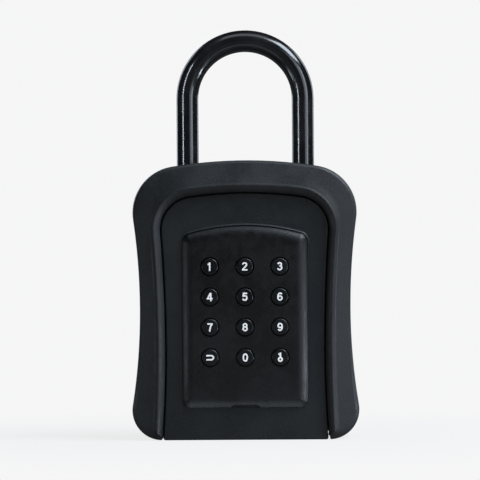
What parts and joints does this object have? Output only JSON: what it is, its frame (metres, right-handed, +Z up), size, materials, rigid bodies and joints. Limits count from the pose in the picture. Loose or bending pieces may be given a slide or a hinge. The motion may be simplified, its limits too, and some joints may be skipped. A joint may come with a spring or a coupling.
{
  "type": "electronic key cabinet",
  "caption": "Portable electronic key cabinet with a keypad door that folds down and a lifting shackle.",
  "frame": {"origin": "centre of the bottom of the whole object", "axes": "+Z up along the shackle, -Y out of the door's front, +X to the right from in front"},
  "size_m": [0.0954, 0.046, 0.1736],
  "materials": {
    "frame_black": "fine-grained moulded black",
    "case_black": "powder-coated black",
    "back_pad": "matt rubber",
    "seal": "soft rubber",
    "zinc_steel": "zinc-plated steel",
    "black_screws": "black oxide",
    "guide_zinc": "die-cast zinc",
    "cover_steel": "black sheet steel",
    "shackle_steel": "hardened steel, plated",
    "shackle_vinyl": "glossy black sleeve",
    "latch_steel": "plated steel",
    "knob_grey": "grey moulded",
    "door_black": "fine-grained moulded black",
    "panel_black": "smooth matt black",
    "key_black": "smooth black with white figures",
    "board_green": "solder mask",
    "chip_black": "moulded epoxy",
    "liner_black": "moulded black",
    "cell_wrap": "plain wrapped cell",
    "contact_nickel": "nickel plate",
    "motor_can": "drawn can",
    "gear_brass": "machined brass",
    "buzzer_black": "moulded black"
  },
  "bodies": {
    "case": {"front_frame": "frame_black", "rear_case": "case_black", "back_pad": "back_pad", "door_seal": "seal", "strike_plate": "zinc_steel", "strike_screws": "zinc_steel", "shackle_block": "guide_zinc", "block_cover": "cover_steel", "block_screws": "zinc_steel", "case_screws": "black_screws", "hinge_pins": "zinc_steel", "key_hook": "zinc_steel"},
    "shackle": {"shackle_core": "shackle_steel", "shackle_sleeve": "shackle_vinyl", "heel_clip": "zinc_steel"},
    "shackle_latch": {"shackle_latch": "latch_steel", "release_knob": "knob_grey"},
    "door": {"door_shell": "door_black", "keypad_panel": "panel_black", "keypad_membrane": "seal", "keypad_board": "board_green", "key_switches": "chip_black", "board_chips": "chip_black", "board_screws": "zinc_steel", "door_liner": "liner_black", "liner_screws": "zinc_steel", "batteries": "cell_wrap", "contact_springs": "contact_nickel", "contact_plates": "contact_nickel", "motor_body": "motor_can", "motor_gearbox": "gear_brass", "latch_housing": "guide_zinc", "housing_screws": "zinc_steel", "buzzer": "buzzer_black"},
    "battery_cover": {"battery_cover": "liner_black"},
    "latch_bolt": {"latch_bolt": "latch_steel"},
    "drive_pinion": {"drive_pinion": "gear_brass"},
    "key_1": {"key_1": "key_black"},
    "key_2": {"key_2": "key_black"},
    "key_3": {"key_3": "key_black"},
    "key_4": {"key_4": "key_black"},
    "key_5": {"key_5": "key_black"},
    "key_6": {"key_6": "key_black"},
    "key_7": {"key_7": "key_black"},
    "key_8": {"key_8": "key_black"},
    "key_9": {"key_9": "key_black"},
    "key_0": {"key_0": "key_black"},
    "key_back": {"key_back": "key_black"},
    "key_unlock": {"key_unlock": "key_black"}
  },
  "joints": [
    {"name": "door_hinge", "type": "hinge", "parent": "case", "child": "door", "pos_m": [0, -0.01775, 0.0046], "axis": [1, 0, 0], "range_deg": [0, 90]},
    {"name": "shackle_lift", "type": "slide", "parent": "case", "child": "shackle", "axis": [0, 0, 1], "range_m": [0, 0.0235]},
    {"name": "shackle_latch_slide", "type": "slide", "parent": "case", "child": "shackle_latch", "axis": [1, 0, 0], "range_m": [0, 0.002]},
    {"name": "battery_cover_slide", "type": "slide", "parent": "door", "child": "battery_cover", "axis": [0, 0, 1], "range_m": [0, 0.014]},
    {"name": "pinion_turn", "type": "hinge", "parent": "door", "child": "drive_pinion", "pos_m": [0.0035, -0.01145, 0.0846], "axis": [1, 0, 0], "range_deg": [0, 96]},
    {"name": "latch_bolt_slide", "type": "slide", "parent": "door", "child": "latch_bolt", "axis": [0, 0, 1], "range_m": [0, 0.005]},
    {"name": "key_1_press", "type": "slide", "parent": "door", "child": "key_1", "axis": [0, 1, 0], "range_m": [0, 0.0007], "stiffness_N_per_m": 300, "springref_m": -0.0005},
    {"name": "key_2_press", "type": "slide", "parent": "door", "child": "key_2", "axis": [0, 1, 0], "range_m": [0, 0.0007], "stiffness_N_per_m": 300, "springref_m": -0.0005},
    {"name": "key_3_press", "type": "slide", "parent": "door", "child": "key_3", "axis": [0, 1, 0], "range_m": [0, 0.0007], "stiffness_N_per_m": 300, "springref_m": -0.0005},
    {"name": "key_4_press", "type": "slide", "parent": "door", "child": "key_4", "axis": [0, 1, 0], "range_m": [0, 0.0007], "stiffness_N_per_m": 300, "springref_m": -0.0005},
    {"name": "key_5_press", "type": "slide", "parent": "door", "child": "key_5", "axis": [0, 1, 0], "range_m": [0, 0.0007], "stiffness_N_per_m": 300, "springref_m": -0.0005},
    {"name": "key_6_press", "type": "slide", "parent": "door", "child": "key_6", "axis": [0, 1, 0], "range_m": [0, 0.0007], "stiffness_N_per_m": 300, "springref_m": -0.0005},
    {"name": "key_7_press", "type": "slide", "parent": "door", "child": "key_7", "axis": [0, 1, 0], "range_m": [0, 0.0007], "stiffness_N_per_m": 300, "springref_m": -0.0005},
    {"name": "key_8_press", "type": "slide", "parent": "door", "child": "key_8", "axis": [0, 1, 0], "range_m": [0, 0.0007], "stiffness_N_per_m": 300, "springref_m": -0.0005},
    {"name": "key_9_press", "type": "slide", "parent": "door", "child": "key_9", "axis": [0, 1, 0], "range_m": [0, 0.0007], "stiffness_N_per_m": 300, "springref_m": -0.0005},
    {"name": "key_0_press", "type": "slide", "parent": "door", "child": "key_0", "axis": [0, 1, 0], "range_m": [0, 0.0007], "stiffness_N_per_m": 300, "springref_m": -0.0005},
    {"name": "key_back_press", "type": "slide", "parent": "door", "child": "key_back", "axis": [0, 1, 0], "range_m": [0, 0.0007], "stiffness_N_per_m": 300, "springref_m": -0.0005},
    {"name": "key_unlock_press", "type": "slide", "parent": "door", "child": "key_unlock", "axis": [0, 1, 0], "range_m": [0, 0.0007], "stiffness_N_per_m": 300, "springref_m": -0.0005}
  ],
  "couplings": [
    {"joint": "pinion_turn", "follows": "latch_bolt_slide", "rad_per_m": 333.33}
  ]
}
